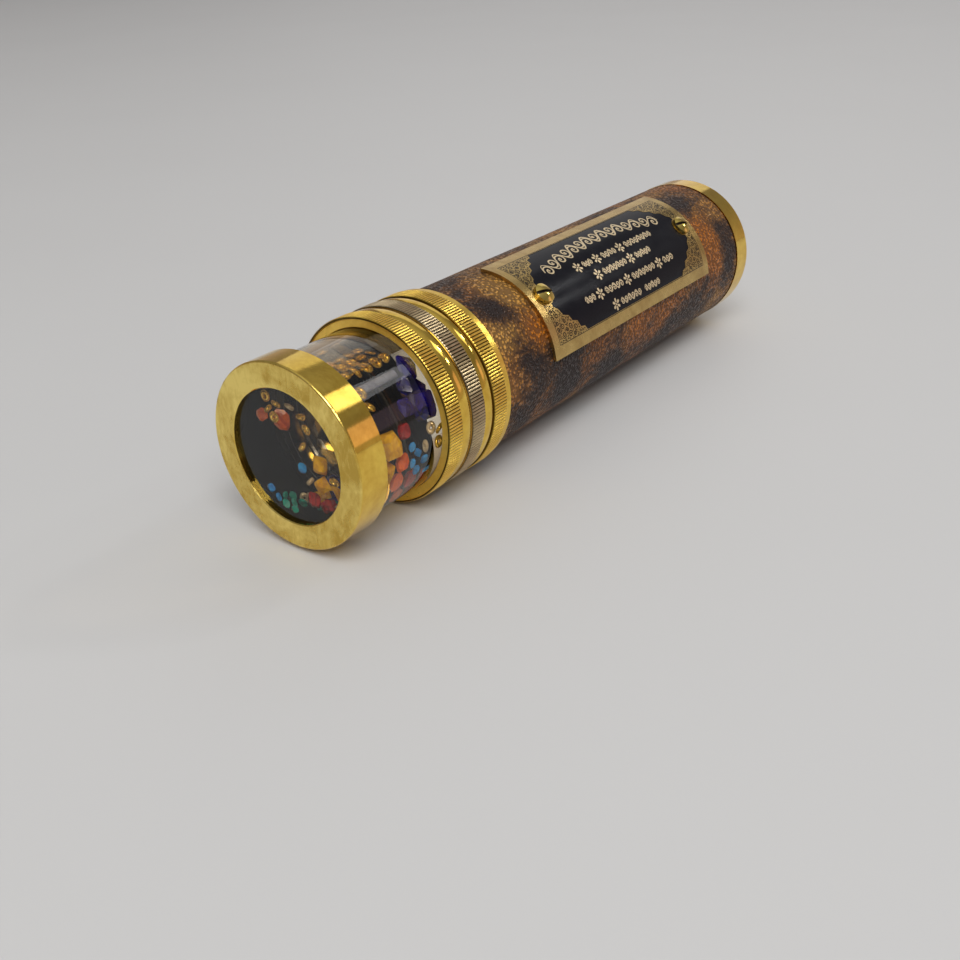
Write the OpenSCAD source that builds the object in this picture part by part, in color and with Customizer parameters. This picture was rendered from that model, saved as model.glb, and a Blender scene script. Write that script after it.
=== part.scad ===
// Oil kaleidoscope: a brass tube wrapped in leather, with a nameplate screwed to it, and a clear
// oil-filled cell in a knurled brass head that turns on the front of the tube.
// Millimetres. The object lies on its side: its axis runs along +Y from the bezel to the eyepiece,
// +Z is up, and the origin is under the middle of it, on the surface that it lies on.
// Inside the modules a station is the distance along the axis from the bezel's front face.
// An angle is measured round the axis from the top towards +X.

/* [Tube] */
// Outer diameter of the brass tube
tube_d = 38.1; // [37:0.1:40]
// Wall of the brass tube
tube_wall = 1; // [0.8:0.1:1.5]
// Thickness of the leather
leather_t = 0.55; // [0.4:0.05:1]
// Length of the leather sleeve
leather_len = 112.4; // [95:0.2:150]
// Gap at each end of the leather
leather_gap = 0.2; // [0.1:0.1:0.5]

/* [Cell] */
// Wall of the cell holder's sleeve round the clear cell tube
sleeve_wall = 0.36; // [0.3:0.02:0.6]
// Wall of the clear cell tube
cell_wall = 2; // [1.5:0.1:2.5]
// Length of the cell tube that shows between the bezel and the head
cell_view_len = 18.1; // [14:0.1:26]
// Thickness of the two cell windows
window_t = 1.8; // [1.2:0.1:2.4]
// Thickness of the two sealing rings
seal_t = 0.6; // [0.4:0.1:1]
// Play between the oil and the walls round it
oil_play = 0.05; // [0.02:0.01:0.1]
// Depth of the air bubble under the top of the cell
bubble_depth = 1.9; // [1:0.1:3]

/* [Bezel] */
// Wall of the bezel round the cell tube
bezel_wall = 1.55; // [1.2:0.05:2.4]
// How far the bezel's lip reaches in over the oil
bezel_lip_reach = 1.9; // [0.8:0.1:3]
// Length of the bezel
bezel_len = 7.4; // [6:0.1:10]
// Thickness of the bezel's front lip
bezel_lip_t = 1; // [0.6:0.1:2]
// Rounding of the bezel's outer front edge
bezel_round = 0.5; // [0.4:0.1:1.2]

/* [Knurled bands] */
// Wall of the body collar round the tube, over the knurl
collar_wall = 1.8; // [1.3:0.1:2.4]
// Ridges round each knurled band
knurl_teeth = 184; // [120:4:200]
// Depth of the knurl's grooves
knurl_depth = 0.3; // [0.2:0.05:0.4]
// Bevel at both ends of a knurled band
knurl_bevel = 0.3; // [0.1:0.05:0.5]
// How far the smooth bands' edges lie under the knurls
band_drop = 0.5; // [0.4:0.05:0.6]
// How far a smooth band is crowned along its length
band_crown = 0.25; // [0.1:0.05:0.4]
// Length of the front knurl on the cell holder
holder_knurl_len = 4.5; // [3:0.1:6]
// Length of the smooth band on the cell holder
holder_band_len = 3.3; // [2.5:0.1:5]
// Length of the darker turning ring
ring_len = 4.5; // [4.2:0.1:7]
// Length of the smooth band on the body collar
collar_band_len = 2.9; // [2.2:0.1:4]
// Length of the rear knurl on the body collar
collar_knurl_len = 4.6; // [3.5:0.1:7]
// Length of the plain lip behind the rear knurl
collar_lip_len = 1.5; // [1:0.1:3]
// Width of the rim in front of the front knurl
front_rim_w = 0.5; // [0.4:0.05:0.7]
// Depth of the flat ring round the cell behind that rim
front_recess = 0.4; // [0.2:0.1:0.8]

/* [Turning joint] */
// Gap that shows between the turning ring and the body collar
turn_gap = 0.2; // [0.15:0.05:0.4]
// Radial play of the turning ring on its journal
journal_play = 0.05; // [0.03:0.01:0.08]
// Play along the axis between the ring's flange and its retainer
end_play = 0.15; // [0.1:0.05:0.3]
// Thickness of the turning ring's inner flange
flange_t = 1.5; // [1.2:0.1:2]
// Thickness of the retaining ring
retainer_t = 1.1; // [0.9:0.1:1.4]
// Radial step from the thread to the journal
journal_step = 0.8; // [0.6:0.1:1]
// Room outside the journal inside the turning ring
ring_room = 1.4; // [1.2:0.1:1.6]
// Wall of the turning ring round that room, over the knurl
ring_wall = 2.1; // [1.6:0.05:2.6]
// Wall of the spigot round the object glass
spigot_wall = 0.9; // [0.8:0.05:1.1]
// Ledge that the object glass rests on
glass_ledge = 0.6; // [0.5:0.05:0.8]
// Thickness of the object glass
object_glass_t = 1.2; // [1:0.1:1.3]
// Thickness of the split ring in front of the object glass
clip_t = 0.8; // [0.6:0.1:0.9]
// Opening of the split ring
clip_gap = 5; // [3:0.5:8]

/* [Mirrors] */
// Thickness of each mirror
mirror_t = 2; // [1.5:0.1:2.2]
// Play round the mirrors in what holds them
mirror_play = 0.1; // [0.05:0.05:0.2]
// Length of each mirror holder
holder_len = 5; // [3:0.5:10]
// Distance of a mirror holder from the end of the mirrors
holder_inset = 6; // [5:0.5:20]

/* [Eyepiece] */
// Wall of the eyepiece cap round the tube
cap_wall = 0.6; // [0.5:0.1:2.4]
// Length of the eyepiece cap
cap_len = 7.2; // [5:0.1:12]
// Thickness of the cap's end
cap_end_t = 1.7; // [1.2:0.1:2.4]
// Rounding of the cap's rear edge
cap_round = 1.4; // [0.6:0.1:1.8]
// Diameter of the viewing hole
eye_hole_d = 10; // [6:0.5:14]
// Depth of the bevel round the viewing hole
eye_bevel = 1; // [0.5:0.1:1.1]
// Thickness of the eye glass
eye_glass_t = 1.5; // [1:0.1:2]
// Overlap of the eye glass and of the cap round the viewing hole
eye_glass_rim = 3; // [2:0.5:3]
// Thickness of the ring that holds the eye glass
eye_ring_t = 3; // [2.6:0.1:5]

/* [Nameplate] */
// Length of the nameplate along the tube
plate_len = 75; // [60:0.5:90]
// Width of the nameplate measured round the tube
plate_width = 29; // [20:0.5:32]
// Thickness of the nameplate
plate_t = 0.8; // [0.6:0.1:1.2]
// Angle of the nameplate's middle from the top of the tube
plate_angle = 42; // [0:1:90]
// Distance of the nameplate from the front end of the leather
plate_start = 18; // [8:0.1:20]
// Depth of the recess for the enamel
enamel_t = 0.3; // [0.2:0.05:0.4]
// How far the enamel lies under the brass
enamel_sink = 0.06; // [0.02:0.02:0.1]
// Length of the enamel field
field_len = 64.5; // [50:0.5:68]
// Width of the enamel field
field_width = 23.8; // [14:0.2:24]
// Length of the stepped corner of the enamel field
corner_len = 8.8; // [6:0.2:12]
// Width of the stepped corner of the enamel field
corner_width = 8.2; // [4:0.2:9]
// Distance of each screw from the end of the nameplate
screw_inset = 4.8; // [4:0.1:6]
// Diameter of a screw's head
screw_head_d = 5; // [4:0.1:6]
// Height of a screw's head
screw_head_h = 1.5; // [1.2:0.1:2]
// Height of the straight side of a screw's head
screw_side_h = 0.8; // [0.3:0.1:1]
// Diameter of a screw's shank
screw_shank_d = 1.8; // [1.4:0.1:2.2]
// Width of a screw's slot
slot_w = 0.8; // [0.5:0.1:0.9]
// Depth of a screw's slot
slot_depth = 0.9; // [0.5:0.1:1]

/* [Pieces in the oil] */
// Side of a cut piece of size 1
piece_unit = 1; // [0.85:0.05:1]
// Outer diameter of a bead
bead_d = 2.5; // [2:0.1:2.6]
// Thickness of a bead
bead_t = 1; // [0.8:0.05:1.1]
// Diameter of the glass rod
rod_d = 1.5; // [1:0.1:1.8]
// Length of the glass rod
rod_len = 12; // [8:0.5:14]

/* [Hidden] */

fit_gap = 0.05;            // play of pieces that are pressed or glued together
past = 1;                  // how far a cut runs past the face that it opens
edge_break = 0.2;          // bevel of a broken edge
end_gap = 0.3;             // gap at the ends of the mirrors
retainer_overlap = 0.6;    // how far the retaining ring reaches out over the flange
socket_web_t = 2.6;        // wall of the body collar in front of the tube
eye_ring_step = 0.5;       // how far the eye ring lies outside the viewing hole
notch_gap = 0.25;          // bare brass round a screw's head
screw_end_drop = 0.2;      // how far a screw's neck reaches into its head
full_turn = 360;
brass = [0.80, 0.62, 0.28];
dark_nickel = [0.42, 0.37, 0.29];

tube_r = tube_d / 2;
tube_bore_r = tube_r - tube_wall;
leather_r = tube_r + fit_gap + leather_t;
cap_r = tube_r + fit_gap + cap_wall;
knurl_r = tube_r + fit_gap + collar_wall;
knurl_root_r = knurl_r - knurl_depth;
band_r = knurl_r - band_drop;

// Radii of the turning joint and of what it holds, from the outside in
ring_room_r = knurl_r - ring_wall;
journal_r = ring_room_r - ring_room;
thread_r = journal_r - journal_step;
glass_seat_r = thread_r - spigot_wall;
spigot_bore_r = glass_seat_r - glass_ledge;
cell_r = ring_room_r - fit_gap - sleeve_wall - fit_gap;
cell_bore_r = cell_r - cell_wall;
bezel_r = cell_r + fit_gap + bezel_wall;
bezel_opening_r = cell_bore_r - bezel_lip_reach;
rest_r = max(knurl_r, bezel_r, cap_r);

// Stations of the head, from the front
s_cell_front = bezel_lip_t + window_t + seal_t;
s_holder = bezel_len + cell_view_len;
s_ring = s_holder + holder_knurl_len + holder_band_len;
s_joint = s_ring + ring_len;
holder_lip_t = 1.2;
holder_rear_lap = 1.5;
s_holder_end = s_ring + holder_rear_lap;
s_rear_window_end = s_holder_end - holder_lip_t;
s_rear_window = s_rear_window_end - window_t;
s_cell_rear = s_rear_window - seal_t;
s_flange = s_joint - flange_t;
oil_front = bezel_lip_t + window_t + oil_play;
oil_rear = s_rear_window - oil_play;
oil_r = cell_bore_r - oil_play;

// Stations of the body
s_collar = s_joint + turn_gap;
s_collar_knurl = s_collar + collar_band_len;
s_collar_lip = s_collar_knurl + collar_knurl_len;
s_collar_end = s_collar_lip + collar_lip_len;
s_tube = s_collar + socket_web_t;
s_leather = s_collar_end + leather_gap;
s_leather_end = s_leather + leather_len;
s_cap = s_leather_end + leather_gap;
length = s_cap + cap_len;
s_cap_end = length - cap_end_t;
s_retainer_end = s_flange - end_play;
s_retainer = s_retainer_end - retainer_t;

// The mirrors stand on the three sides of a triangle round the axis, as wide as the spigot's bore
// lets their outer corners be
mirror_angles = [60, -60, 180];
mirror_reach = spigot_bore_r - mirror_play;
mirror_w = (sqrt(4 * mirror_reach * mirror_reach - 3 * mirror_t * mirror_t) - mirror_t) * sqrt(3) / 2;
mirror_distance = mirror_w / (2 * sqrt(3));
s_object_glass = s_retainer + clip_t;
s_object_glass_end = s_object_glass + object_glass_t;
s_mirror = s_object_glass_end + end_gap;
eye_ring_r = tube_bore_r - fit_gap;
s_eye_ring = s_cap_end - eye_ring_t;
s_eye_glass = s_cap_end - eye_glass_t;
eye_hole_r = eye_hole_d / 2;
eye_glass_r = eye_hole_r + eye_glass_rim;
s_mirror_end = s_eye_ring - end_gap;

// The nameplate is laid out flat: x runs along the tube from its middle, y round the tube
plate_r = leather_r + fit_gap;
plate_top_r = plate_r + plate_t;
s_plate = s_leather + plate_start;
s_plate_mid = s_plate + plate_len / 2;
plate_half_angle = plate_width / 2 / plate_r * 180 / PI;
screw_x = plate_len / 2 - screw_inset;
screw_clear = 0.1;
slot_angle = 74;
field_notch_r = screw_head_d / 2 + notch_gap;

bead_ring_r = (bead_d - bead_t) / 2;

// Lays what stands along +Z on its side, along +Y
module lay_down() {
    translate([0, -length / 2, rest_r]) rotate([-90, 0, 0]) children();
}

// A ring or disc between two stations
module ring(r_in, r_out, s0, s1) {
    difference() {
        translate([0, 0, s0]) cylinder(r = r_out, h = s1 - s0, $fn = 120);
        if (r_in > 0) translate([0, 0, s0 - past]) cylinder(r = r_in, h = s1 - s0 + 2 * past, $fn = 120);
    }
}

// One ridge of the knurl between two grooves: share of the pitch and share of the depth
knurl_profile = [[0, 0], [0.18, 0.72], [0.5, 1], [0.82, 0.72]];

// A straight-knurled band: rounded ridges with narrow grooves, bevelled at both ends
module knurl(s0, s1) {
    pitch = full_turn / knurl_teeth;
    intersection() {
        translate([0, 0, s0]) linear_extrude(s1 - s0)
            polygon([for (i = [0 : knurl_teeth - 1]) for (p = knurl_profile)
                let (a = (i + p[0] - 0.5) * pitch, r = knurl_root_r + p[1] * knurl_depth)
                    [r * cos(a), r * sin(a)]]);
        rotate_extrude($fn = 120)
            polygon([[0, s0], [knurl_r - knurl_bevel, s0], [knurl_r + knurl_bevel, s0 + 2 * knurl_bevel],
                     [knurl_r + knurl_bevel, s1 - 2 * knurl_bevel], [knurl_r - knurl_bevel, s1], [0, s1]]);
    }
}

// A smooth band, crowned along its length by an arc
module crowned_band(s0, s1) {
    half = (s1 - s0) / 2;
    arc_r = (half * half + band_crown * band_crown) / (2 * band_crown);
    rotate_extrude($fn = 120) intersection() {
        translate([0, s0]) square([knurl_r, s1 - s0]);
        union() {
            translate([0, s0]) square([band_r, s1 - s0]);
            translate([band_r + band_crown - arc_r, s0 + half]) circle(r = arc_r, $fn = 120);
        }
    }
}

// Puts a piece at its place in the oil
module at(place) {
    r = oil_r * place[1] / 100;
    depth = (oil_rear - oil_front) * place[0] / 100;
    translate([r * sin(place[2]), -r * cos(place[2]), oil_front + depth]) children();
}

module front_bezel() {
    color(brass) lay_down() difference() {
        rotate_extrude($fn = 120) union() {
            translate([0, bezel_round]) square([bezel_r, bezel_len - bezel_round]);
            square([bezel_r - bezel_round, bezel_len]);
            translate([bezel_r - bezel_round, bezel_round]) circle(r = bezel_round, $fn = 48);
        }
        translate([0, 0, -past]) cylinder(r = bezel_opening_r, h = bezel_len, $fn = 120);
        translate([0, 0, -edge_break])
            cylinder(r1 = bezel_opening_r + 2 * edge_break, r2 = bezel_opening_r,
                     h = 2 * edge_break, $fn = 120);
        translate([0, 0, bezel_lip_t]) cylinder(r = cell_r + fit_gap, h = bezel_len, $fn = 120);
    }
}

module front_window() {
    color("lightcyan", 0.4) lay_down() ring(0, cell_r, bezel_lip_t, bezel_lip_t + window_t);
}

module front_seal() {
    color("dimgray") lay_down() ring(cell_bore_r, cell_r, bezel_lip_t + window_t, s_cell_front);
}

module cell_tube() {
    color("lightcyan", 0.4) lay_down() ring(cell_bore_r, cell_r, s_cell_front, s_cell_rear);
}

module rear_seal() {
    color("dimgray") lay_down() ring(cell_bore_r, cell_r, s_cell_rear, s_rear_window);
}

module rear_window() {
    color("lightcyan", 0.4) lay_down() ring(0, cell_r, s_rear_window, s_rear_window_end);
}

// The front end of the cell holder is a flat ring behind a narrow rim, and its rear end a sleeve
// that fits inside the turning ring
module cell_holder() {
    rim_r = knurl_r - front_rim_w;
    seat_r = cell_r + fit_gap;
    color(brass) lay_down() difference() {
        union() {
            knurl(s_holder, s_holder + holder_knurl_len);
            crowned_band(s_holder + holder_knurl_len, s_ring);
            ring(0, ring_room_r - fit_gap, s_ring, s_holder_end);
        }
        rotate_extrude($fn = 120)
            polygon([[0, s_holder - past], [rim_r, s_holder - past], [rim_r, s_holder],
                     [rim_r - front_recess / 2, s_holder + front_recess],
                     [seat_r + edge_break, s_holder + front_recess],
                     [seat_r, s_holder + front_recess + edge_break],
                     [seat_r, s_rear_window_end], [0, s_rear_window_end]]);
        translate([0, 0, s_holder])
            cylinder(r = spigot_bore_r, h = s_holder_end - s_holder + past, $fn = 120);
    }
}

// The turning ring's flange runs on the body collar's journal
module turning_ring() {
    color(dark_nickel) lay_down() difference() {
        knurl(s_ring, s_joint);
        translate([0, 0, s_ring - past]) cylinder(r = ring_room_r, h = s_flange - s_ring + past, $fn = 120);
        translate([0, 0, s_ring]) cylinder(r = journal_r + journal_play, h = ring_len + past, $fn = 120);
    }
}

// Pieces in the oil: depth behind its front and distance from the axis in hundredths of the oil's
// length and radius, angle from the top, and size in units of piece_unit
cobalt_places = [[82, 79, 38, 4.2], [70, 78, 51, 3.6], [79, 76, 71, 5.4], [62, 78, 66, 3.2],
                 [88, 46, 58, 4], [86, 78, -170, 4.2], [53, 80, 174, 3.4]];
yellow_places = [[17, 33, 112, 3.6], [16, 51, 141, 3.4], [23, 61, 152, 2.4], [38, 78, 88, 4.8],
                 [33, 80, 108, 3.2], [67, 79, 178, 3.4], [42, 79, -178, 3.2]];
orange_places = [[31, 48, -57, 4.2], [23, 73, -66, 2.8], [47, 82, 105, 3.4], [43, 82, 121, 3.6],
                 [52, 80, 142, 3.4], [85, 79, 153, 3.8]];
red_places = [[16, 66, 167, 3.2], [16, 76, 152, 2.8], [53, 79, 82, 2.8], [60, 80, 128, 3.4],
              [78, 80, 137, 3.4], [70, 80, 154, 3.4], [32, 80, 160, 3.2]];
teal_places = [[12, 88, -158, 2], [12, 87, -168, 1.8], [19, 84, -163, 2], [19, 84, -152, 1.8],
               [28, 84, -168, 2.2], [28, 84, -156, 2], [34, 85, 175, 1.8], [44, 84, 160, 2]];
sky_places = [[16, 24, 180, 2.2], [12, 87, -139, 2], [12, 88, -149, 1.9], [56, 87, 95, 1.8],
              [62, 87, 102, 2], [57, 87, 109, 1.8], [70, 87, 111, 2.2], [62, 88, 117, 2],
              [75, 87, 123, 2], [74, 85, -172, 2.2]];
clear_places = [[71, 85, 101], [12, 58, -6], [19, 42, 168], [78, 85, 89], [27, 85, 146],
                [36, 84, 140], [25, 66, 175], [77, 85, 168], [38, 84, -164], [49, 84, -166]];
gold_single_places = [[12, 78, -36], [13, 63, -28], [13, 64, -44], [18, 53, -50], [12, 50, 14],
                      [13, 37, 28], [12, 12, 45], [14, 61, 117], [32, 82, 41], [32, 80, 53],
                      [87, 84, 93], [86, 84, 104], [60, 85, -36], [68, 85, -48]];
rod_place = [51, 70, 37];

// Gold beads gather in two layers under the top of the cell, in rows of depth and columns of angle
bead_row_step = 10;
outer_beads = [[29, 80, -1], [2, 0, 12.5], 5, 3];
inner_beads = [[35, 63, -3], [0, 0, 15], 3, 2];
function bead_cluster(first, column_step, rows, columns) =
    [for (i = [0 : rows - 1]) for (j = [0 : columns - 1])
        first + [bead_row_step * i, 0, 0] + column_step * j];
gold_cluster_places = concat(
    bead_cluster(outer_beads[0], outer_beads[1], outer_beads[2], outer_beads[3]),
    bead_cluster(inner_beads[0], inner_beads[1], inner_beads[2], inner_beads[3]));

// A cut-glass piece: three boxes turned against each other, and only what they share
module chunk(size, seed, flat = 0.8) {
    rotate([47 * seed, 31 * seed, 73 * seed]) intersection() {
        cube([size, size * flat, size * 0.9], center = true);
        rotate([45, 0, 20 + 7 * seed]) cube([size * 1.05, size * 0.85, size * 0.95], center = true);
        rotate([15, 40, 0]) cube([size * 0.95, size * flat, size], center = true);
    }
}

module chunks(places, flat, grow = 0) {
    for (i = [0 : len(places) - 1]) at(places[i]) chunk(places[i][3] * piece_unit + grow, i + 1, flat);
}

module beads(places, grow = 0) {
    for (i = [0 : len(places) - 1]) at(places[i]) rotate([67 * i, 41 * i, 0])
        rotate_extrude($fn = 48) translate([bead_ring_r, 0]) circle(d = bead_t + grow, $fn = 24);
}

module rod(grow = 0) {
    at(rod_place) cylinder(d = rod_d + grow, h = rod_len + grow, center = true, $fn = 32);
}

// The air left in the cell lies flat against its top
module bubble() {
    intersection() {
        translate([0, 0, oil_front - past])
            cylinder(r = oil_r + past, h = oil_rear - oil_front + 2 * past, $fn = 96);
        translate([-cell_r, -cell_r - oil_r + bubble_depth, oil_front + past])
            cube([2 * cell_r, cell_r, oil_rear - oil_front - 2 * past]);
    }
}

// The oil fills the cell round the pieces in it, which it lets move
module oil_fill() {
    color([0.85, 0.80, 0.62], 0.3) lay_down() difference() {
        ring(0, oil_r, oil_front, oil_rear);
        chunks(cobalt_places, 0.8, 2 * oil_play);
        chunks(yellow_places, 0.9, 2 * oil_play);
        chunks(orange_places, 0.45, 2 * oil_play);
        chunks(red_places, 0.6, 2 * oil_play);
        chunks(teal_places, 0.35, 2 * oil_play);
        chunks(sky_places, 0.35, 2 * oil_play);
        beads(clear_places, 2 * oil_play);
        beads(gold_single_places, 2 * oil_play);
        beads(gold_cluster_places, 2 * oil_play);
        rod(2 * oil_play);
        bubble();
    }
}

module gold_beads() {
    color("gold") lay_down() {
        beads(gold_single_places);
        beads(gold_cluster_places);
    }
}

module clear_beads() {
    color([0.85, 0.75, 0.55], 0.6) lay_down() beads(clear_places);
}

module cobalt_glass() {
    color([0.06, 0.05, 0.45]) lay_down() chunks(cobalt_places, 0.8);
}

module yellow_glass() {
    color([0.85, 0.62, 0.05]) lay_down() chunks(yellow_places, 0.9);
}

module orange_glass() {
    color([0.90, 0.33, 0.10]) lay_down() chunks(orange_places, 0.45);
}

module red_glass() {
    color([0.55, 0.05, 0.04]) lay_down() chunks(red_places, 0.6);
}

module teal_flakes() {
    color([0.05, 0.50, 0.45]) lay_down() chunks(teal_places, 0.35);
}

module sky_flakes() {
    color([0.20, 0.50, 0.80]) lay_down() chunks(sky_places, 0.35);
}

module glass_rod() {
    color([0.60, 0.62, 0.75], 0.6) lay_down() rod();
}

// The body collar: spigot, journal, shoulder, and the socket that holds the tube
module body_collar() {
    color(brass) lay_down() difference() {
        union() {
            crowned_band(s_collar, s_collar_knurl);
            knurl(s_collar_knurl, s_collar_lip);
            ring(0, band_r + band_crown, s_collar_lip, s_collar_end);
            ring(0, journal_r, s_retainer_end, s_collar);
            ring(0, thread_r, s_retainer, s_retainer_end);
        }
        translate([0, 0, s_retainer - past])
            cylinder(r = spigot_bore_r, h = s_collar_end - s_retainer + 2 * past, $fn = 120);
        translate([0, 0, s_retainer - past])
            cylinder(r = glass_seat_r, h = s_object_glass_end - s_retainer + past, $fn = 120);
        translate([0, 0, s_tube])
            cylinder(r = tube_r + fit_gap, h = s_collar_end - s_tube + past, $fn = 120);
    }
}

module retaining_ring() {
    color(brass) lay_down()
        ring(thread_r + fit_gap, journal_r + retainer_overlap, s_retainer, s_retainer_end);
}

module object_glass() {
    color("lightcyan", 0.4) lay_down() ring(0, glass_seat_r - fit_gap, s_object_glass, s_object_glass_end);
}

module glass_clip() {
    color("silver") lay_down() difference() {
        ring(glass_seat_r - fit_gap - clip_t, glass_seat_r - fit_gap, s_retainer, s_object_glass);
        translate([-clip_gap / 2, 0, s_retainer - past]) cube([clip_gap, tube_d, clip_t + 2 * past]);
    }
}

// Holes for the nameplate's screws, from outside the plate to inside the tube
module screw_holes(d) {
    for (side = [-1, 1]) translate([0, 0, s_plate_mid + side * screw_x]) rotate([0, 0, plate_angle])
        rotate([90, 0, 0]) translate([0, 0, tube_bore_r - past])
            cylinder(d = d, h = plate_top_r - tube_bore_r + 2 * past, $fn = 32);
}

module body_tube() {
    color(brass) lay_down() difference() {
        ring(tube_bore_r, tube_r, s_tube, s_cap_end);
        screw_holes(screw_shank_d + screw_clear);
    }
}

module leather_sleeve() {
    color([0.35, 0.17, 0.09]) lay_down() difference() {
        ring(tube_r + fit_gap, leather_r, s_leather, s_leather_end);
        screw_holes(screw_shank_d + screw_clear);
    }
}

// A mirror strip on the side of the triangle that faces an angle from the top
module mirror_strip(angle) {
    color([0.75, 0.78, 0.80]) lay_down() rotate([0, 0, angle])
        translate([-mirror_w / 2, -mirror_distance - mirror_t, s_mirror])
            cube([mirror_w, mirror_t, s_mirror_end - s_mirror]);
}

module mirror_upper_near() { mirror_strip(mirror_angles[0]); }
module mirror_upper_far() { mirror_strip(mirror_angles[1]); }
module mirror_lower() { mirror_strip(mirror_angles[2]); }

// A holder fills the round between the tube and the three mirrors
module mirror_holder(s0) {
    color([0.10, 0.10, 0.11]) lay_down() difference() {
        ring(0, tube_bore_r - fit_gap, s0, s0 + holder_len);
        translate([0, 0, s0 - past]) linear_extrude(holder_len + 2 * past) union() {
            rotate([0, 0, -90]) circle(r = 2 * mirror_distance, $fn = 3);
            for (angle = mirror_angles) rotate([0, 0, angle])
                translate([-mirror_w / 2 - mirror_play, -mirror_distance - mirror_t - mirror_play])
                    square([mirror_w + 2 * mirror_play, mirror_t + 2 * mirror_play]);
        }
    }
}

module front_mirror_holder() { mirror_holder(s_tube + holder_inset); }
module rear_mirror_holder() { mirror_holder(s_mirror_end - holder_inset - holder_len); }

module eye_ring() {
    color([0.12, 0.12, 0.13]) lay_down() difference() {
        ring(eye_hole_r + eye_ring_step, eye_ring_r, s_eye_ring, s_cap_end);
        translate([0, 0, s_eye_glass])
            cylinder(r = eye_glass_r + fit_gap, h = eye_glass_t + past, $fn = 96);
    }
}

module eye_glass() {
    color("lightcyan", 0.4) lay_down() ring(0, eye_glass_r, s_eye_glass, s_cap_end);
}

// The eyepiece cap: a turned cup with a rounded rear edge and a bevelled viewing hole
module eyepiece_cap() {
    color(brass) lay_down() difference() {
        rotate_extrude($fn = 120) union() {
            translate([0, s_cap]) square([cap_r, cap_len - cap_round]);
            translate([0, s_cap]) square([cap_r - cap_round, cap_len]);
            translate([cap_r - cap_round, length - cap_round]) circle(r = cap_round, $fn = 64);
        }
        translate([0, 0, s_cap - past])
            cylinder(r = tube_r + fit_gap, h = s_cap_end - s_cap + past, $fn = 120);
        translate([0, 0, s_cap]) cylinder(r = eye_hole_r, h = cap_len + past, $fn = 96);
        translate([0, 0, length - eye_bevel])
            cylinder(r1 = eye_hole_r, r2 = eye_hole_r + 2 * eye_bevel, h = eye_bevel + 0.001, $fn = 96);
    }
}

// A piece of a tube wall round the nameplate's middle line
module wall_piece(r_in, r_out, s0, s1, half_angle) {
    rotate([0, 0, plate_angle - 90 - half_angle]) translate([0, 0, s0])
        rotate_extrude(angle = 2 * half_angle, $fn = 120)
            translate([r_in, 0]) square([r_out - r_in, s1 - s0]);
}

// Distance across a flat cut for a distance measured round the plate
function across(y) = plate_top_r * sin(y / plate_top_r * 180 / PI);

// The enamel field has four steps across each corner and a round notch for each screw
field_quarter = [[0, 1], [0.07, 0.86], [0.26, 0.82], [0.33, 0.62], [0.52, 0.56],
                 [0.60, 0.38], [0.80, 0.30], [0.87, 0.10], [1, 0]];

module field_outline() {
    x0 = field_len / 2;
    y0 = field_width / 2;
    corner = [for (p = field_quarter) [x0 + (p[0] - 1) * corner_len, y0 + (p[1] - 1) * corner_width]];
    quarters = [[1, 1], [1, -1], [-1, -1], [-1, 1]];
    difference() {
        polygon([for (k = [0 : 3]) for (i = [0 : len(corner) - 1])
            let (p = corner[k % 2 == 0 ? i : len(corner) - 1 - i])
                [quarters[k][0] * p[0], quarters[k][1] * across(p[1])]]);
        for (side = [-1, 1]) translate([side * screw_x, 0]) circle(r = field_notch_r, $fn = 48);
    }
}

// The part of a wall piece that lies under the field's outline
module field_layer(r_in, r_out) {
    intersection() {
        wall_piece(r_in, r_out, s_plate, s_plate + plate_len, plate_half_angle);
        rotate([0, 0, plate_angle]) translate([0, 0, s_plate_mid]) rotate([90, 0, 0])
            rotate([0, 0, 90]) linear_extrude(plate_top_r + past) field_outline();
    }
}

module nameplate() {
    color(brass) lay_down() difference() {
        wall_piece(plate_r, plate_top_r, s_plate, s_plate + plate_len, plate_half_angle);
        field_layer(plate_top_r - enamel_t, plate_top_r + past);
        screw_holes(screw_shank_d + screw_clear);
    }
}

module nameplate_enamel() {
    color([0.05, 0.05, 0.07]) lay_down()
        field_layer(plate_top_r - enamel_t, plate_top_r - enamel_sink);
}

// Round-headed slotted screws through the plate, the leather and the tube
module nameplate_screws() {
    head_r = screw_head_d / 2;
    dome_h = screw_head_h - screw_side_h;
    dome_r = (head_r * head_r + dome_h * dome_h) / (2 * dome_h);
    slot_base_r = plate_top_r + fit_gap + screw_head_h - slot_depth;
    head_base_r = plate_top_r + fit_gap;
    neck_len = head_base_r + screw_end_drop - tube_bore_r;
    color(brass) lay_down() for (side = [-1, 1])
        translate([0, 0, s_plate_mid + side * screw_x]) rotate([0, 0, plate_angle]) rotate([90, 0, 0]) {
            difference() {
                translate([0, 0, head_base_r]) intersection() {
                    cylinder(r = head_r, h = screw_head_h, $fn = 64);
                    translate([0, 0, screw_head_h - dome_r]) sphere(r = dome_r, $fn = 64);
                }
                rotate([0, 0, slot_angle]) translate([-head_r, -slot_w / 2, slot_base_r])
                    cube([screw_head_d, slot_w, screw_head_h]);
            }
            translate([0, 0, tube_bore_r]) cylinder(d = screw_shank_d, h = neck_len, $fn = 32);
        }
}

front_bezel();
front_window();
front_seal();
cell_tube();
rear_seal();
rear_window();
cell_holder();
turning_ring();
oil_fill();
gold_beads();
clear_beads();
cobalt_glass();
yellow_glass();
orange_glass();
red_glass();
teal_flakes();
sky_flakes();
glass_rod();
body_collar();
retaining_ring();
object_glass();
glass_clip();
body_tube();
leather_sleeve();
mirror_upper_near();
mirror_upper_far();
mirror_lower();
front_mirror_holder();
rear_mirror_holder();
eye_ring();
eye_glass();
eyepiece_cap();
nameplate();
nameplate_enamel();
nameplate_screws();
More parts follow.
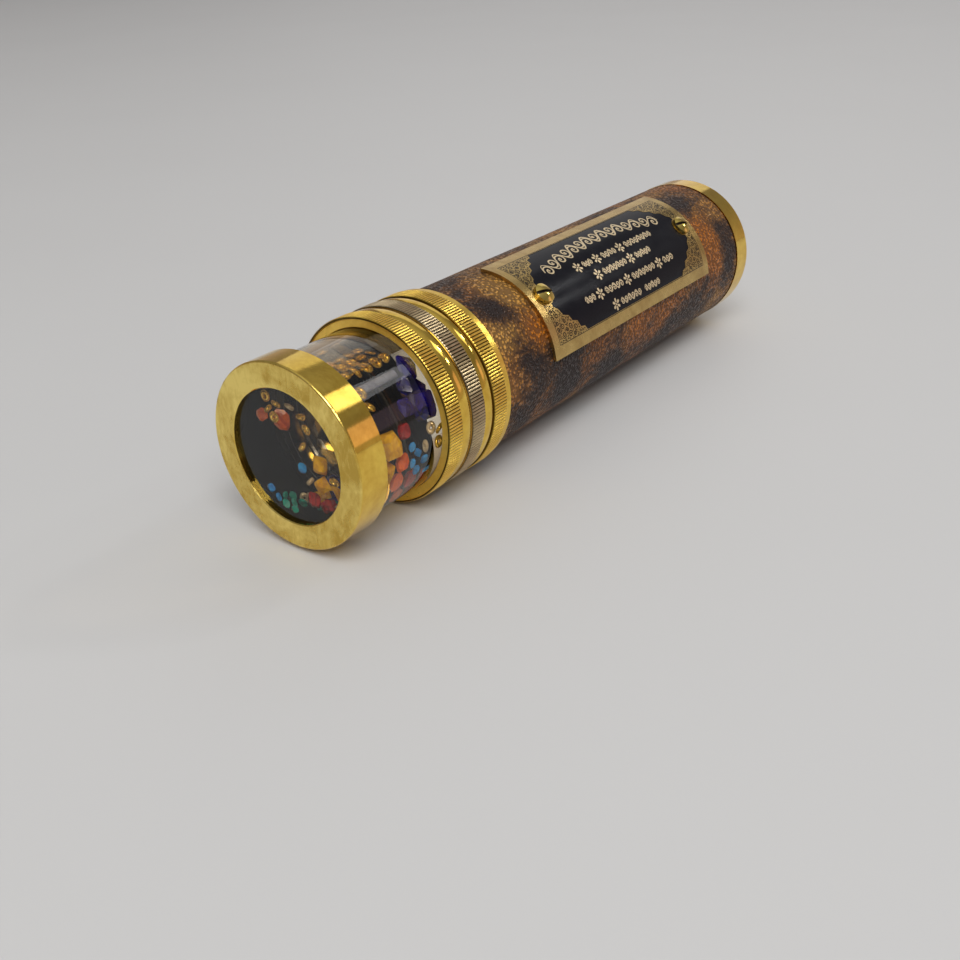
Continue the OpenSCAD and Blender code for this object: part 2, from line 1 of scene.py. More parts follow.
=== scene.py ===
"""Looks of the oil kaleidoscope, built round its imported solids.

Metres. The object's axis runs along +Y at AXIS_Z above the floor. A station is the distance in
millimetres along the axis from the bezel's front face, and an angle is measured in degrees round
the axis from the top towards +X. Radii and the sizes of the plate's ornament are in millimetres.
"""

import math
import random

import bmesh
import bpy
from mathutils import Matrix, Vector, noise


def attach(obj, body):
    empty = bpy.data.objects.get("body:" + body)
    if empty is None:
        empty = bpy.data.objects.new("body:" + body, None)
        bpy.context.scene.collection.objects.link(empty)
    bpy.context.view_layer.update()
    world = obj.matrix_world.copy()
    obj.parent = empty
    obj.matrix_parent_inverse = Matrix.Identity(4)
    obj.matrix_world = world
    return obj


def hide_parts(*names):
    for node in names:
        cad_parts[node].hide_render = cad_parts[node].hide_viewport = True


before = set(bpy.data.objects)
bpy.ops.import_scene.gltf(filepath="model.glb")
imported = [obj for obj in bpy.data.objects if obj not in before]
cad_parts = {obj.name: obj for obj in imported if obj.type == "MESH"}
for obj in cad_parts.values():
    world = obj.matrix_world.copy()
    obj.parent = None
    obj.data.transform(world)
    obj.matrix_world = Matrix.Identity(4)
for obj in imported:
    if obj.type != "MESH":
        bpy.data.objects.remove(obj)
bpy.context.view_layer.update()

MM = 0.001
AXIS_Z = 20.9 * MM
FRONT_Y = -83.5 * MM
HEAD = "cell_head"
BODY = "tube_body"

# Stations of the knurled bands, and the radii between which the dark colour in their grooves, dirt
# with painted shade, ends
KNURLS = ((25.5, 30.0), (33.3, 37.8), (40.9, 45.5))
GROOVE = (20.65, 20.84)
# The flat ring round the cell in the holder's front, and the collar's plain lip
HOLDER_FACE, HOLDER_FACE_R = (25.2, 26.2), 20.35
COLLAR_LIP = (45.5, 47.2)
# The clear cell: its radii, the level that the air bubble's floor has over the axis, its stations
CELL_R, CELL_BORE_R, OIL_R = 18.34, 16.34, 16.29
BUBBLE_FLOOR = 14.39
WINDOW, CELL, REAR_WINDOW, OIL = (1.0, 2.8), (3.4, 31.2), (31.8, 33.6), (2.85, 31.75)
# The leather: its two ends and its inner and outer radius
LEATHER = (47.2, 159.6)
LEATHER_IN, LEATHER_OUT = 19.12, 19.65
# The nameplate: its middle's station and angle, and the radii of its surface and its enamel's
PLATE_MID, PLATE_ANGLE = 102.7, 42
PLATE_TOP, ENAMEL_TOP = 20.5, 20.44
# Its screws: distance from its middle, radius, height over the plate, and how fast the head falls
SCREW_X, SCREW_R = 32.7, 2.42
SCREW_TOP, SCREW_CURVE = 1.47, 0.112


def on_axis(station, radius, angle):
    """The point at a station, a radius and an angle."""
    a = math.radians(angle)
    x, z = radius * MM * math.sin(a), radius * MM * math.cos(a)
    return Vector((x, FRONT_Y + station * MM, AXIS_Z + z))


# Nodes of a material

class Surface:
    """A material with one Principled shader, and short calls for the nodes that feed it."""

    def __init__(self, name, colour, metallic=0.0, roughness=0.5, **sockets):
        self.material = bpy.data.materials.new(name)
        self.material.use_nodes = True
        self.material.diffuse_color = (*colour, 1)
        self.tree = self.material.node_tree
        self.shader = self.tree.nodes["Principled BSDF"]
        self.put("Base Color", (*colour, 1))
        self.put("Metallic", metallic)
        self.put("Roughness", roughness)
        for socket, value in sockets.items():
            self.put(socket.replace("_", " ").title().replace("Ior", "IOR"), value)
        self.place = self.add("ShaderNodeTexCoord").outputs["Object"]
        self.normal = None

    def add(self, kind, **settings):
        node = self.tree.nodes.new(kind)
        for key, value in settings.items():
            setattr(node, key, value)
        return node

    def feed(self, node, socket, value):
        """Link a value that other nodes work out to a socket, or set the socket to a constant."""
        if isinstance(value, bpy.types.NodeSocket):
            self.tree.links.new(value, node.inputs[socket])
        else:
            node.inputs[socket].default_value = value

    def put(self, socket, value):
        self.feed(self.shader, socket, value)

    def math(self, operation, a, b=0.0):
        node = self.add("ShaderNodeMath", operation=operation)
        self.feed(node, 0, a)
        self.feed(node, 1, b)
        return node.outputs[0]

    def weighted(self, first, *others):
        """The sum of pairs of a value and its weight."""
        total = self.math("MULTIPLY", *first)
        for pair in others:
            total = self.math("ADD", total, self.math("MULTIPLY", *pair))
        return total

    def highest(self, first, *others):
        for other in others:
            first = self.math("MAXIMUM", first, other)
        return first

    def squares(self, a, b):
        return self.math("ADD", self.math("MULTIPLY", a, a), self.math("MULTIPLY", b, b))

    def remap(self, value, low, high, to_low=0.0, to_high=1.0):
        """The value, held between low and high and stretched to run from to_low to to_high."""
        node = self.add("ShaderNodeMapRange")
        sockets = ("Value", "From Min", "From Max", "To Min", "To Max")
        for socket, x in zip(sockets, (value, low, high, to_low, to_high)):
            self.feed(node, socket, x)
        return node.outputs[0]

    def mix(self, share, a, b):
        """Colour a where share is 0, and colour b where it is 1."""
        node = self.add("ShaderNodeMix", data_type="RGBA")
        node.clamp_factor = True
        self.feed(node, 0, share)
        self.feed(node, 6, (*a, 1) if isinstance(a, tuple) else a)
        self.feed(node, 7, (*b, 1) if isinstance(b, tuple) else b)
        return node.outputs[2]

    def split(self):
        """The place's three parts, along X, Y and Z."""
        node = self.add("ShaderNodeSeparateXYZ")
        self.feed(node, 0, self.place)
        return tuple(node.outputs)

    def scaled(self, x, y, z, vector=None):
        node = self.add("ShaderNodeMapping")
        self.feed(node, "Vector", vector or self.place)
        node.inputs["Scale"].default_value = (x, y, z)
        return node.outputs[0]

    def wobbled(self, scale, amount):
        """The place, moved about by soft noise."""
        drift = self.add("ShaderNodeTexNoise")
        drift.inputs["Scale"].default_value = scale
        self.feed(drift, "Vector", self.place)
        shift = self.add("ShaderNodeVectorMath", operation="SCALE")
        self.feed(shift, 0, drift.outputs["Color"])
        shift.inputs["Scale"].default_value = amount
        moved = self.add("ShaderNodeVectorMath", operation="ADD")
        self.feed(moved, 0, self.place)
        self.feed(moved, 1, shift.outputs[0])
        return moved.outputs[0]

    def noise(self, scale, detail=3.0, rough=0.5, twist=0.0, vector=None):
        node = self.add("ShaderNodeTexNoise")
        self.feed(node, "Vector", vector or self.place)
        sockets = ("Scale", "Detail", "Roughness", "Distortion")
        for socket, x in zip(sockets, (scale, detail, rough, twist)):
            node.inputs[socket].default_value = x
        return node.outputs["Fac"]

    def cells(self, scale, smooth, vector):
        """The distance from the nearest of many scattered points, with soft borders."""
        node = self.add("ShaderNodeTexVoronoi", feature="SMOOTH_F1")
        self.feed(node, "Vector", vector)
        node.inputs["Scale"].default_value = scale
        node.inputs["Smoothness"].default_value = smooth
        return node.outputs["Distance"]

    def spot(self, centre, size):
        """1 at a point, falling to 0 at a distance in millimetres."""
        node = self.add("ShaderNodeVectorMath", operation="DISTANCE")
        self.feed(node, 0, self.place)
        node.inputs[1].default_value = centre
        return self.remap(node.outputs["Value"], 0.0, size * MM, 1.0, 0.0)

    def round_place(self):
        """(distance from the axis, place along it, 0), the same all round, and its two parts."""
        x, y, z = self.split()
        radius = self.math("SQRT", self.squares(x, self.math("SUBTRACT", z, AXIS_Z)))
        join = self.add("ShaderNodeCombineXYZ")
        self.feed(join, 0, radius)
        self.feed(join, 1, y)
        return join.outputs[0], radius, y

    def between(self, along, s0, s1):
        """1 between two stations, and 0 elsewhere."""
        middle = FRONT_Y + (s0 + s1) / 2 * MM
        off = self.math("ABSOLUTE", self.math("SUBTRACT", along, middle))
        return self.math("LESS_THAN", off, (s1 - s0) / 2 * MM)

    def bump(self, height, distance, strength=1.0):
        node = self.add("ShaderNodeBump")
        node.inputs["Distance"].default_value = distance
        self.feed(node, "Strength", strength)
        self.feed(node, "Height", height)
        if self.normal is not None:
            self.feed(node, "Normal", self.normal)
        self.normal = node.outputs[0]
        self.put("Normal", self.normal)


# Metals

# How much of a groove's bottom is dark dirt and painted shade, how much rougher the knurls, the
# holder's flat ring and the collar's lip are than the polished parts, and how metallic the dulled
# flat ring still is
GROOVE_DIRT_AND_SHADE = 0.92
SATIN = 0.19
RING_METALLIC = 0.6
# Stations between which the bezel's rubbed front face, clouded with painted reflection, ends, and
# its gloss
FACE_END = (0.1, 0.45)
FACE_ROUGH = (0.06, 0.24)


def turned_metal(name, light, dark, rough_low, rough_high, marks=0.3, groove_dirt_and_shade=None, rubbed_and_reflection=None):
    """Turned metal with fine marks round the axis, and mottled in colour and gloss.

    soil is the colour of the dirt and painted shade in the knurls' grooves. brushed is the two
    colours of a rubbed front face, whose paler and darker clouds are partly painted reflection.
    """
    s = Surface(name, light, metallic=1.0, roughness=rough_low)
    ring_place, radius, along = s.round_place()
    mottle = s.noise(150, 5, 0.6, 0.6)
    patches = s.noise(560, 3, 0.65)
    lines = s.noise(1.0, 4, 0.7, vector=s.scaled(9000, 9000, 1, ring_place))
    colour = s.mix(s.remap(s.weighted((mottle, 0.65), (patches, 0.35)), 0.38, 0.66), light, dark)
    gloss = s.remap(s.weighted((patches, 0.6), (lines, 0.4)), 0.3, 0.7, rough_low, rough_high)
    if groove_dirt_and_shade:
        bands = s.highest(*[s.between(along, *band) for band in KNURLS])
        outside = s.math("GREATER_THAN", radius, HOLDER_FACE_R * MM)
        knurled = s.math("MULTIPLY", bands, outside)
        # Groove bottoms darken towards a near-black colour: dirt, and painted shade in the grooves
        low = s.remap(radius, GROOVE[0] * MM, GROOVE[1] * MM, GROOVE_DIRT_AND_SHADE, 0.0)
        colour = s.mix(s.math("MULTIPLY", low, knurled), colour, groove_dirt_and_shade)
        inside = s.math("LESS_THAN", radius, HOLDER_FACE_R * MM)
        flat = s.math("MULTIPLY", s.between(along, *HOLDER_FACE), inside)
        satin = s.highest(knurled, flat, s.between(along, *COLLAR_LIP))
        to_even = s.math("SUBTRACT", (rough_low + rough_high) / 2, gloss)
        gloss = s.weighted((gloss, 1.0), (knurled, to_even), (satin, SATIN))
        s.put("Metallic", s.remap(flat, 0.0, 1.0, 1.0, RING_METALLIC))
        marks = s.remap(knurled, 0.0, 1.0, marks, 0.0)
    if rubbed_and_reflection:
        # Paler and darker clouds on the front face: rubbed brass, made stronger as painted
        # reflection
        rubbed = s.noise(70, 4, 0.55, 0.8)
        streaks = s.noise(300, 4, 0.65, 1.2, s.scaled(1.8, 1.0, 0.8))
        cloud = s.remap(s.weighted((rubbed, 0.65), (streaks, 0.35)), 0.40, 0.60)
        face = s.remap(along, FRONT_Y + FACE_END[0] * MM, FRONT_Y + FACE_END[1] * MM, 1.0, 0.0)
        colour = s.mix(face, colour, s.mix(cloud, *rubbed_and_reflection))
        gloss = s.weighted((gloss, 1.0), (face, s.remap(cloud, 0.0, 1.0, *FACE_ROUGH)))
        s.bump(s.math("MULTIPLY", streaks, face), 0.05 * MM, 0.3)
    s.put("Base Color", colour)
    s.put("Roughness", gloss)
    s.bump(lines, 0.012 * MM, marks)
    if not groove_dirt_and_shade:
        s.bump(mottle, 0.05 * MM, 0.25)
    return s.material


def slotted_brass(name, light, slot):
    """Brass of a screw's head, with painted shade in the slot: inside the head and below its curved
    top.
    """
    s = Surface(name, light, metallic=1.0, roughness=0.12)
    x, y, z = s.split()
    c, n = math.cos(math.radians(PLATE_ANGLE)), math.sin(math.radians(PLATE_ANGLE))
    height = s.math("SUBTRACT", z, AXIS_Z)
    out = s.weighted((x, n), (height, c))
    across = s.weighted((x, c), (height, -n))
    from_middle = s.math("ABSOLUTE", s.math("SUBTRACT", y, FRONT_Y + PLATE_MID * MM))
    off = s.squares(s.math("SUBTRACT", from_middle, SCREW_X * MM), across)
    fall = s.math("MULTIPLY", off, SCREW_CURVE / MM)
    top = s.math("SUBTRACT", (PLATE_TOP + SCREW_TOP) * MM, fall)
    inside = s.math("LESS_THAN", off, (SCREW_R * MM) ** 2)
    sunk = s.math("MULTIPLY", s.math("LESS_THAN", out, top), inside)
    colour = s.mix(s.noise(500, 4, 0.6), light, tuple(v * 0.7 for v in light))
    # Painted shade: the slot gets a near-black, unmetallic colour
    s.put("Base Color", s.mix(sunk, colour, slot))
    s.put("Roughness", s.remap(sunk, 0.0, 1.0, 0.12, 0.6))
    s.put("Metallic", s.math("SUBTRACT", 1.0, sunk))
    return s.material


def plain_metal(name, colour, roughness, metallic=1.0):
    s = Surface(name, colour, metallic=metallic, roughness=roughness)
    spots = s.noise(500, 4, 0.6)
    s.put("Base Color", s.mix(spots, colour, tuple(v * 0.75 for v in colour)))
    s.put("Roughness", s.remap(spots, 0.3, 0.7, roughness * 0.8, roughness * 1.3))
    return s.material


# Leather: the station, angle and size in millimetres of its dark, tan and orange blotches. The dark
# blotches low on its +X side, past about 85 degrees, are also painted shade.

DARK_BLOTCHES_AND_SHADE = (
    (54, 35, 6), (61, 48, 6), (55, 73, 8), (61, 85, 7), (72, 95, 8), (90, 123, 12), (147, 22, 9),
    (155, 66, 7), (154, 86, 7), (138, 112, 12), (57, 108, 12), (72, 118, 10), (122, 121, 12))
TAN_BLOTCHES = (
    (60, 18, 9), (64, 33, 8), (50, 52, 9), (60, 55, 8), (63, 61, 7), (52, 84, 7), (86, 103, 9),
    (104, 97, 10), (116, 98, 9), (144, 50, 10), (145, 74, 9))
ORANGE_BLOTCHES = (
    (63, 61, 8), (86, 103, 13), (105, 97, 14), (120, 100, 14), (144, 57, 12), (144, 80, 12))


def leather(name):
    """Marbled glossy leather: purple brown drifting into tan and orange, with a pebble grain."""
    dark, brown = (0.026, 0.011, 0.008), (0.135, 0.052, 0.012)
    tan, orange = (0.62, 0.31, 0.065), (0.54, 0.17, 0.012)
    s = Surface(name, brown, roughness=0.42, specular_ior_level=0.32)

    def pushed(value, blotches, push):
        """The value, raised by push in the middle of each blotch."""
        for station, angle, size in blotches:
            spot = s.spot(on_axis(station, LEATHER_OUT, angle), size)
            value = s.math("ADD", value, s.math("MULTIPLY", spot, push))
        return value

    clouds = s.noise(78, 4, 0.60, 1.0, s.scaled(1, 0.8, 1))
    wisps = s.noise(260, 5, 0.7, 2.0, s.scaled(1, 0.6, 1))
    marble = s.weighted((clouds, 0.62), (wisps, 0.38))
    # Dark blotches darken the marbling, and those low on the side are painted shade
    marble = pushed(pushed(marble, DARK_BLOTCHES_AND_SHADE, -0.17), TAN_BLOTCHES, 0.14)
    warmth = pushed(s.remap(s.noise(45, 3, 0.5), 0.44, 0.66), ORANGE_BLOTCHES, 1.5)
    colour = s.mix(s.remap(marble, 0.36, 0.48), dark, brown)
    colour = s.mix(s.remap(marble, 0.44, 0.60), colour, s.mix(warmth, tan, orange))
    pebble = s.cells(1200, 0.3, s.wobbled(900, 0.55 * MM))
    crease = s.remap(pebble, 0.26, 0.60)
    # Painted shade: the grain's creases are darkened towards a near-black brown
    colour = s.mix(s.math("MULTIPLY", crease, 0.72), colour, tuple(v * 0.4 for v in dark))
    s.put("Base Color", colour)
    s.put("Roughness", s.remap(crease, 0.0, 1.0, 0.24, 0.60))
    s.bump(s.noise(130, 3, 0.5), 0.35 * MM, 0.25)
    sunk = s.weighted((crease, 1.0), (s.noise(3600, 2, 0.5), 0.25))
    s.bump(s.math("SUBTRACT", 1.0, sunk), 0.50 * MM)
    return s.material


# Glass, oil, plastic and enamel

def clear(name, tint, ior):
    """Clear plastic or oil that bends light. Light for what lies inside it goes straight through."""
    s = Surface(name, tint, roughness=0.0, transmission_weight=1.0, ior=ior)
    path = s.add("ShaderNodeLightPath")
    straight = s.add("ShaderNodeBsdfTransparent")
    straight.inputs["Color"].default_value = (*tint, 1)
    blend = s.add("ShaderNodeMixShader")
    s.feed(blend, 0, s.highest(path.outputs["Is Shadow Ray"], path.outputs["Is Diffuse Ray"]))
    s.feed(blend, 1, s.shader.outputs[0])
    s.feed(blend, 2, straight.outputs[0])
    s.feed(s.tree.nodes["Material Output"], "Surface", blend.outputs[0])
    return s.material


def wetted(name):
    """Where clear plastic and oil touch: nothing shows, because both bend light alike."""
    material = bpy.data.materials.new(name)
    material.use_nodes = True
    tree = material.node_tree
    tree.nodes.clear()
    out = tree.nodes.new("ShaderNodeOutputMaterial")
    through = tree.nodes.new("ShaderNodeBsdfTransparent")
    tree.links.new(through.outputs[0], out.inputs["Surface"])
    return material


def cut_glass(name, light, dark, roughness=0.12, metallic=0.0, **sockets):
    """A loose piece of coloured glass: its tone drifts from face to face."""
    s = Surface(name, light, metallic, roughness, specular_ior_level=0.6, **sockets)
    veins = s.noise(420, 4, 0.6, 1.0)
    s.put("Base Color", s.mix(s.remap(veins, 0.35, 0.65), light, dark))
    s.put("Roughness", s.remap(veins, 0.3, 0.7, roughness * 0.7, roughness * 1.6))
    return s.material


def enamel(name, colour):
    s = Surface(name, colour, roughness=0.20, specular_ior_level=0.14)
    s.put("Roughness", s.remap(s.noise(200, 3, 0.6), 0.3, 0.7, 0.15, 0.28))
    return s.material


def dull(name, colour, roughness):
    """Matt plastic or rubber, finely speckled."""
    s = Surface(name, colour, roughness=roughness)
    spots = s.noise(900, 4, 0.6)
    s.put("Base Color", s.mix(spots, colour, tuple(min(1, v * 1.7 + 0.004) for v in colour)))
    s.put("Roughness", s.remap(spots, 0.3, 0.7, roughness * 0.85, min(1, roughness * 1.2)))
    s.bump(spots, 0.02 * MM, 0.4)
    return s.material


# The materials of this object

BRASS = (0.92, 0.63, 0.115), (0.70, 0.43, 0.065)
NICKEL = (0.56, 0.44, 0.26), (0.34, 0.25, 0.13)
PLATE = (0.60, 0.42, 0.15), (0.42, 0.27, 0.085)
# The front face's two colours: rubbed brass, clouded paler and darker as painted reflection
RUBBED_AND_REFLECTION = (0.97, 0.75, 0.22), (0.60, 0.40, 0.075)
# Colours at the knurls' groove bottoms: dirt, with painted shade
BRASS_DIRT_AND_SHADE, NICKEL_DIRT_AND_SHADE = (0.028, 0.017, 0.006), (0.006, 0.004, 0.003)

brass = turned_metal("brass_turned", *BRASS, 0.07, 0.15)
bezel_brass = turned_metal("brass_bezel", *BRASS, 0.05, 0.11, 0.25, rubbed_and_reflection=RUBBED_AND_REFLECTION)
knurl_brass = turned_metal("brass_knurled", *BRASS, 0.07, 0.15, 0.2, BRASS_DIRT_AND_SHADE)
knurl_nickel = turned_metal("nickel_knurled", *NICKEL, 0.07, 0.15, 0.2, NICKEL_DIRT_AND_SHADE)
plate_brass = turned_metal("brass_plate", *PLATE, 0.22, 0.36, 0.1)
# The screw slot's near-black colour is painted shade
screw_brass = slotted_brass("brass_screw", (0.90, 0.66, 0.17), (0.020, 0.012, 0.005))
ornament_gold = plain_metal("gold_line_work", (0.78, 0.62, 0.38), 0.35, 0.4)
mirror = plain_metal("mirror_silver", (0.90, 0.91, 0.92), 0.015)
steel = plain_metal("spring_steel", (0.55, 0.55, 0.56), 0.3)
clear_plastic = clear("clear_plastic", (0.88, 0.79, 0.63), 1.48)
clear_oil = clear("clear_oil", (0.985, 0.98, 0.95), 1.48)
optical = clear("optical_glass", (0.98, 0.985, 0.98), 1.5)
wet = wetted("wetted_wall")
black_enamel = enamel("black_enamel", (0.005, 0.005, 0.008))
black_plastic = dull("black_plastic", (0.020, 0.020, 0.021), 0.55)
# Painted reflection: the front mirror holder's umber is lighter than its own dark plastic, to light
# the shade inside the tube as a mauve reflection on the cell would
front_plastic = dull("umber_plastic", (0.17, 0.115, 0.085), 0.6)
rubber = dull("seal_rubber", (0.030, 0.027, 0.024), 0.7)
leather_skin = leather("leather_marbled")

NODE_LOOKS = {
    "front_bezel": bezel_brass,
    "front_seal": rubber,
    "rear_seal": rubber,
    "cell_holder": knurl_brass,
    "turning_ring": knurl_nickel,
    "body_collar": knurl_brass,
    "retaining_ring": brass,
    "object_glass": optical,
    "glass_clip": steel,
    "body_tube": brass,
    "mirror_upper_near": mirror,
    "mirror_upper_far": mirror,
    "mirror_lower": mirror,
    "front_mirror_holder": front_plastic,
    "rear_mirror_holder": black_plastic,
    "eye_ring": black_plastic,
    "eye_glass": optical,
    "eyepiece_cap": brass,
    "nameplate": plate_brass,
    "nameplate_enamel": black_enamel,
    "nameplate_screws": screw_brass,
    "gold_beads": cut_glass("gold_bead", (1.0, 0.72, 0.16), (0.80, 0.48, 0.06), 0.10, 0.75),
    "clear_beads": cut_glass("clear_bead", (0.80, 0.70, 0.48), (0.46, 0.34, 0.18), 0.12, 0.5),
    "cobalt_glass": cut_glass("cobalt_glass", (0.008, 0.006, 0.24), (0.002, 0.0015, 0.045), 0.08),
    "yellow_glass": cut_glass("yellow_glass", (0.88, 0.52, 0.002), (0.60, 0.28, 0.002), 0.1),
    "orange_glass": cut_glass("orange_glass", (0.88, 0.18, 0.012), (0.55, 0.065, 0.004), 0.1),
    "red_glass": cut_glass("red_glass", (0.42, 0.012, 0.006), (0.12, 0.003, 0.002), 0.08),
    "teal_flakes": cut_glass("teal_glass", (0.003, 0.36, 0.27), (0.001, 0.11, 0.12), 0.08),
    "sky_flakes": cut_glass("sky_glass", (0.04, 0.36, 0.90), (0.01, 0.14, 0.50), 0.08),
    "glass_rod": cut_glass("rod_glass", (0.55, 0.60, 0.78), (0.30, 0.32, 0.45), 0.06,
                           transmission_weight=0.6, ior=1.1),
}
for node_name, material in NODE_LOOKS.items():
    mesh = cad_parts[node_name].data
    mesh.materials.clear()
    mesh.materials.append(material)


# Pieces

def add_piece(name, verts, faces, body, materials, replaces=(), smooth=True):
    """A new mesh object that rides on a body."""
    mesh = bpy.data.meshes.new(name)
    mesh.from_pydata([tuple(v) for v in verts], [], faces)
    mesh.update()
    mesh.shade_smooth() if smooth else mesh.shade_flat()
    for material in materials:
        mesh.materials.append(material)
    piece = bpy.data.objects.new(name, mesh)
    bpy.context.scene.collection.objects.link(piece)
    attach(piece, body)
    if replaces:
        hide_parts(*replaces)
    return piece


def lathe(profile, turns):
    """A closed profile of (station, radius) revolved round the axis. A radius of 0 is one point."""
    verts, rows = [], []
    for station, radius in profile:
        if radius == 0:
            rows.append([len(verts)] * turns)
            verts.append(on_axis(station, 0, 0))
        else:
            rows.append(list(range(len(verts), len(verts) + turns)))
            verts += [on_axis(station, radius, 360 * k / turns) for k in range(turns)]
    faces = []
    for a, b in zip(rows, rows[1:] + rows[:1]):
        for k in range(turns):
            n = (k + 1) % turns
            corners = []
            for v in (a[k], b[k], b[n], a[n]):
                if v not in corners:
                    corners.append(v)
            if len(corners) > 2:
                faces.append(corners)
    return verts, faces


# The clear cell: its walls, windows and oil bend light only where air meets them

CLEAR_TURNS = 240
OIL_TURNS = 200
SHARP_EDGE = math.radians(30)


def clear_piece(name, profile, node, dry):
    """A clear piece, cut at the oil's level, that bends light only where air meets it.

    dry(station, radius, height, side) says whether air meets a face there. side is true of a face
    that runs along the axis.
    """
    verts, faces = lathe(profile, CLEAR_TURNS)
    looks = [clear_plastic, wet]
    piece = add_piece(name, verts, faces, HEAD, looks, [node], smooth=False)
    work = bmesh.new()
    work.from_mesh(piece.data)
    bmesh.ops.recalc_face_normals(work, faces=work.faces)
    level = Vector((0, 0, AXIS_Z + BUBBLE_FLOOR * MM))
    everything = work.verts[:] + work.edges[:] + work.faces[:]
    bmesh.ops.bisect_plane(work, geom=everything, plane_co=level, plane_no=(0, 0, 1))
    for face in work.faces:
        centre = face.calc_center_median()
        station = (centre.y - FRONT_Y) / MM
        radius = math.hypot(centre.x, centre.z - AXIS_Z) / MM
        side = abs(face.normal.y) < 0.5
        face.smooth = side
        face.material_index = 0 if dry(station, radius, (centre.z - AXIS_Z) / MM, side) else 1
    for edge in work.edges:
        if len(edge.link_faces) == 2 and edge.calc_face_angle(0) > SHARP_EDGE:
            edge.smooth = False
    work.to_mesh(piece.data)
    work.free()


def disc(stations):
    """The profile of a disc that is as wide as the cell."""
    return [(stations[0], 0), (stations[0], CELL_R), (stations[1], CELL_R), (stations[1], 0)]


def in_bubble(radius, height):
    return height > BUBBLE_FLOOR and radius < CELL_BORE_R


clear_piece(
    "cell_tube_clear",
    [(CELL[0], CELL_BORE_R), (CELL[0], CELL_R), (CELL[1], CELL_R), (CELL[1], CELL_BORE_R)],
    "cell_tube",
    lambda s, r, h, side: side and (r > (CELL_R + CELL_BORE_R) / 2 or h > BUBBLE_FLOOR))
clear_piece(
    "front_window_clear", disc(WINDOW), "front_window",
    lambda s, r, h, side: side or s < sum(WINDOW) / 2 or in_bubble(r, h))
clear_piece(
    "rear_window_clear", disc(REAR_WINDOW), "rear_window",
    lambda s, r, h, side: side or s > sum(REAR_WINDOW) / 2 or in_bubble(r, h))


def oil_body():
    """The oil, with the flat top that the air bubble lies on."""
    half = math.acos(BUBBLE_FLOOR / OIL_R)
    ring = []
    for k in range(OIL_TURNS + 1):
        a = half + (2 * math.pi - 2 * half) * k / OIL_TURNS
        ring.append((OIL_R * math.sin(a), OIL_R * math.cos(a)))
    verts = [(x * MM, FRONT_Y + s * MM, AXIS_Z + z * MM) for s in OIL for x, z in ring]
    n = len(ring)
    faces = [[k, (k + 1) % n, n + (k + 1) % n, n + k] for k in range(n)]
    faces += [list(range(n))[::-1], list(range(n, 2 * n))]
    looks = [clear_oil, wet]
    piece = add_piece("oil_clear", verts, faces, HEAD, looks, ["oil_fill"], smooth=False)
    for polygon in piece.data.polygons:
        top = polygon.normal.z > 0.99 and abs(polygon.normal.y) < 0.1
        polygon.material_index = 0 if top else 1


oil_body()


# The leather's shape: points along and round it, and in millimetres how deep its ends are rolled
# and over what length, how deep and how wide each side of its seam is, and how uneven it is

LEATHER_ROWS, LEATHER_TURNS = 240, 300
ROLL_DEPTH, ROLL_LENGTH = 0.22, 0.45
SEAM_DEPTH, SEAM_SIDE = 0.28, 0.5
SWELL = 0.05
END_GAP = 0.05


def leather_wrap():
    """The glued leather, a little uneven, with rolled ends and a butt seam underneath."""
    length = LEATHER[1] - LEATHER[0]
    profile = [(LEATHER[0] + END_GAP, LEATHER_IN)]
    for k in range(LEATHER_ROWS + 1):
        profile.append((LEATHER[0] + length * k / LEATHER_ROWS, LEATHER_OUT))
    profile.append((LEATHER[1] - END_GAP, LEATHER_IN))
    verts, faces = lathe(profile, LEATHER_TURNS)
    for v in verts[LEATHER_TURNS:-LEATHER_TURNS]:
        station = (v.y - FRONT_Y) / MM
        swell = SWELL * (noise.noise(v * 95) + 0.5 * noise.noise(v * 260))
        end = min(station - LEATHER[0], LEATHER[1] - station)
        roll = ROLL_DEPTH * (1 - min(1, end / ROLL_LENGTH)) ** 2
        angle = math.degrees(math.atan2(v.x, v.z - AXIS_Z))
        from_seam = abs(180 - abs(angle)) * math.pi / 180 * LEATHER_OUT
        seam = SEAM_DEPTH * max(0, 1 - from_seam / SEAM_SIDE)
        drop = (min(0, swell - SWELL) - roll - seam) * MM
        v += Vector((v.x, 0, v.z - AXIS_Z)).normalized() * drop
    add_piece("leather_wrap", verts, faces, BODY, [leather_skin], ["leather_sleeve"])


leather_wrap()


# Ornament of the nameplate: x runs along the tube from the plate's middle, y round it to the top

def on_plate(x, y, radius):
    return on_axis(PLATE_MID + x, radius, PLATE_ANGLE - math.degrees(y / PLATE_TOP))


